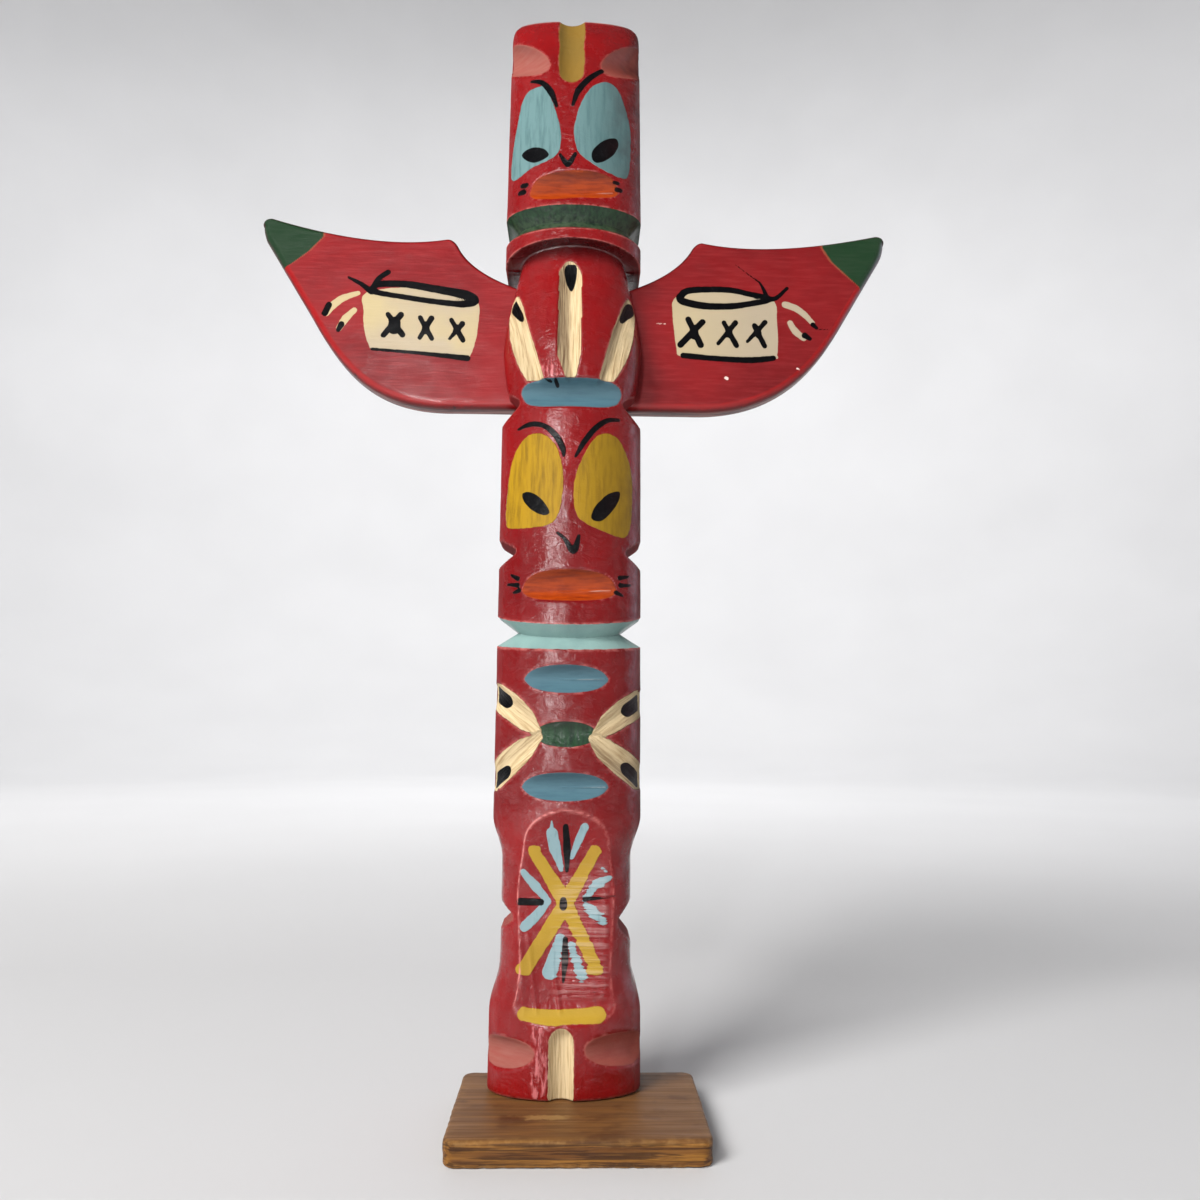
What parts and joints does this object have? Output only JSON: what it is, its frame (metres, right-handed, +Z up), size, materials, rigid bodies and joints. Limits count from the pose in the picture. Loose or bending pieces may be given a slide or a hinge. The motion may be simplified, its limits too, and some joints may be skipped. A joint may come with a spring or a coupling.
{
  "type": "souvenir totem pole",
  "caption": "Hand-painted wooden souvenir totem pole with two carved heads, spread wings and a small stained wood base.",
  "frame": {"origin": "centre of the base's flat underside, on the surface it stands on", "axes": "+Z up along the pole, +Y to its flat back, +X to the viewer's right as one faces the carved front; the pole's own axis stands 3.7 mm left of the origin"},
  "size_m": [0.1841, 0.041, 0.304],
  "materials": {
    "painted_wood": "gloss red enamel with painted details",
    "painted_board": "satin red enamel with painted details",
    "stained_wood": "brown stain, satin"
  },
  "bodies": {
    "root": {"carved_pole": "painted_wood", "wing_board": "painted_board", "base_plaque": "stained_wood"}
  },
  "joints": []
}
